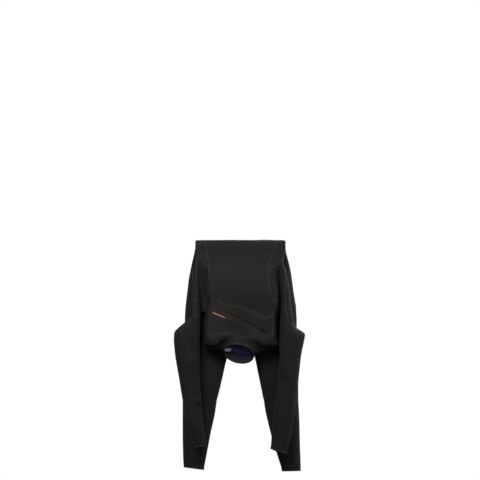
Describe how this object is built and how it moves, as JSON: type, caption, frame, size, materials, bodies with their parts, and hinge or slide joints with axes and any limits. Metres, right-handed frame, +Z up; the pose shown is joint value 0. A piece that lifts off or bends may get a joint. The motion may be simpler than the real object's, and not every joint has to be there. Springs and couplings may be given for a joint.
{
  "type": "full wetsuit",
  "caption": "Full-length chest-zip neoprene wetsuit hung folded at the waist over a bar, with hinged limbs, a working zip slider and knee pads.",
  "frame": {"origin": "on the hanger bar's axis, at the middle of the bar's span inside the suit's waist fold", "axes": "+X to the right as the chest is seen (the wearer's right), along the bar; +Y from the torso flap to the leg flap; +Z up, out of the top of the fold"},
  "size_m": [0.5698, 0.1638, 1.008],
  "materials": {
    "neoprene_jersey": "nylon jersey laminated on neoprene, matt",
    "smooth_skin": "smooth-skin neoprene, satin",
    "knee_rubber": "printed abrasion-resistant rubber, matt",
    "purple_lining": "brushed polyester lining",
    "white_label": "woven satin label, blank",
    "orange_print": "screen-printed rubber ink",
    "seam_tape": "flat-stitched seam",
    "zip_nylon": "moulded nylon and woven tape",
    "zip_metal": "black lacquered slider"
  },
  "bodies": {
    "waist": {"waist_front_panel": "neoprene_jersey", "waist_back_panel": "neoprene_jersey", "waist_side_left": "neoprene_jersey", "waist_side_right": "neoprene_jersey"},
    "torso": {"belly_panel": "neoprene_jersey", "chest_flap": "smooth_skin", "flap_seam_tape": "seam_tape", "chest_mark": "orange_print", "back_panel": "neoprene_jersey", "torso_side_left": "neoprene_jersey", "torso_side_right": "neoprene_jersey", "shoulder_panel_left": "neoprene_jersey", "shoulder_panel_right": "neoprene_jersey", "collar": "smooth_skin", "neck_lining": "purple_lining", "care_label": "white_label", "underarm_gusset_left": "neoprene_jersey", "underarm_gusset_right": "neoprene_jersey", "shoulder_cap_front_left": "neoprene_jersey", "shoulder_cap_back_left": "neoprene_jersey", "shoulder_cap_front_right": "neoprene_jersey", "shoulder_cap_back_right": "neoprene_jersey", "zip_tape": "zip_nylon", "zip_teeth": "zip_nylon", "zip_top_stop": "zip_nylon", "zip_bottom_stop": "zip_nylon"},
    "slider": {"zip_slider": "zip_metal"},
    "pull": {"zip_pull": "zip_nylon"},
    "pelvis": {"front_hip_panel": "neoprene_jersey", "seat_panel": "neoprene_jersey", "hip_side_left": "neoprene_jersey", "hip_side_right": "neoprene_jersey"},
    "sleeve_left": {"upper_sleeve_front_left": "neoprene_jersey", "upper_sleeve_back_left": "neoprene_jersey"},
    "forearm_left": {"forearm_front_left": "neoprene_jersey", "forearm_back_left": "neoprene_jersey", "wrist_cuff_left": "smooth_skin"},
    "thigh_left": {"thigh_front_left": "neoprene_jersey", "thigh_back_left": "neoprene_jersey"},
    "shin_left": {"shin_front_left": "neoprene_jersey", "calf_back_left": "neoprene_jersey", "knee_pad_left": "knee_rubber", "ankle_cuff_left": "smooth_skin"},
    "sleeve_right": {"upper_sleeve_front_right": "neoprene_jersey", "upper_sleeve_back_right": "neoprene_jersey"},
    "forearm_right": {"forearm_front_right": "neoprene_jersey", "forearm_back_right": "neoprene_jersey", "wrist_cuff_right": "smooth_skin"},
    "thigh_right": {"thigh_front_right": "neoprene_jersey", "thigh_back_right": "neoprene_jersey"},
    "shin_right": {"shin_front_right": "neoprene_jersey", "calf_back_right": "neoprene_jersey", "knee_pad_right": "knee_rubber", "ankle_cuff_right": "smooth_skin"}
  },
  "joints": [
    {"name": "torso_swing", "type": "hinge", "parent": "waist", "child": "torso", "pos_m": [0, -0.0272, -0.03], "axis": [-1, 0, 0], "range_deg": [0, 60]},
    {"name": "pelvis_swing", "type": "hinge", "parent": "waist", "child": "pelvis", "pos_m": [0, 0.0272, -0.03], "axis": [1, 0, 0], "range_deg": [0, 50]},
    {"name": "shoulder_left", "type": "hinge", "parent": "torso", "child": "sleeve_left", "pos_m": [-0.2815, -0.037, -0.42], "axis": [0, 1, 0], "range_deg": [0, 35], "stiffness_Nm_per_rad": 2, "springref_deg": -4.58},
    {"name": "elbow_left", "type": "hinge", "parent": "sleeve_left", "child": "forearm_left", "pos_m": [-0.2075, -0.0652, -0.64], "axis": [-1, 0, 0], "range_deg": [0, 90], "stiffness_Nm_per_rad": 0.5, "springref_deg": -3.44},
    {"name": "hip_left", "type": "hinge", "parent": "pelvis", "child": "thigh_left", "pos_m": [-0.1145, 0.0852, -0.304], "axis": [1, 0, 0], "range_deg": [0, 50], "stiffness_Nm_per_rad": 2, "springref_deg": -4.58},
    {"name": "knee_left", "type": "hinge", "parent": "thigh_left", "child": "shin_left", "pos_m": [-0.1735, 0.0822, -0.69], "axis": [1, 0, 0], "range_deg": [0, 90], "stiffness_Nm_per_rad": 1, "springref_deg": -4.01},
    {"name": "shoulder_right", "type": "hinge", "parent": "torso", "child": "sleeve_right", "pos_m": [0.2825, -0.037, -0.42], "axis": [0, -1, 0], "range_deg": [0, 35], "stiffness_Nm_per_rad": 2, "springref_deg": -4.58},
    {"name": "elbow_right", "type": "hinge", "parent": "sleeve_right", "child": "forearm_right", "pos_m": [0.2065, -0.0652, -0.64], "axis": [-1, 0, 0], "range_deg": [0, 90], "stiffness_Nm_per_rad": 0.5, "springref_deg": -3.44},
    {"name": "hip_right", "type": "hinge", "parent": "pelvis", "child": "thigh_right", "pos_m": [0.1265, 0.0852, -0.304], "axis": [1, 0, 0], "range_deg": [0, 50], "stiffness_Nm_per_rad": 2, "springref_deg": -4.58},
    {"name": "knee_right", "type": "hinge", "parent": "thigh_right", "child": "shin_right", "pos_m": [0.18, 0.0822, -0.69], "axis": [1, 0, 0], "range_deg": [0, 90], "stiffness_Nm_per_rad": 1, "springref_deg": -4.01},
    {"name": "zip_slide", "type": "slide", "parent": "torso", "child": "slider", "axis": [-0.8918, 0, 0.4524], "range_m": [0, 0.16]},
    {"name": "pull_swing", "type": "hinge", "parent": "slider", "child": "pull", "pos_m": [0.09473, -0.0776, -0.3615], "axis": [-0.4524, 0, -0.8918], "range_deg": [0, 120]}
  ]
}
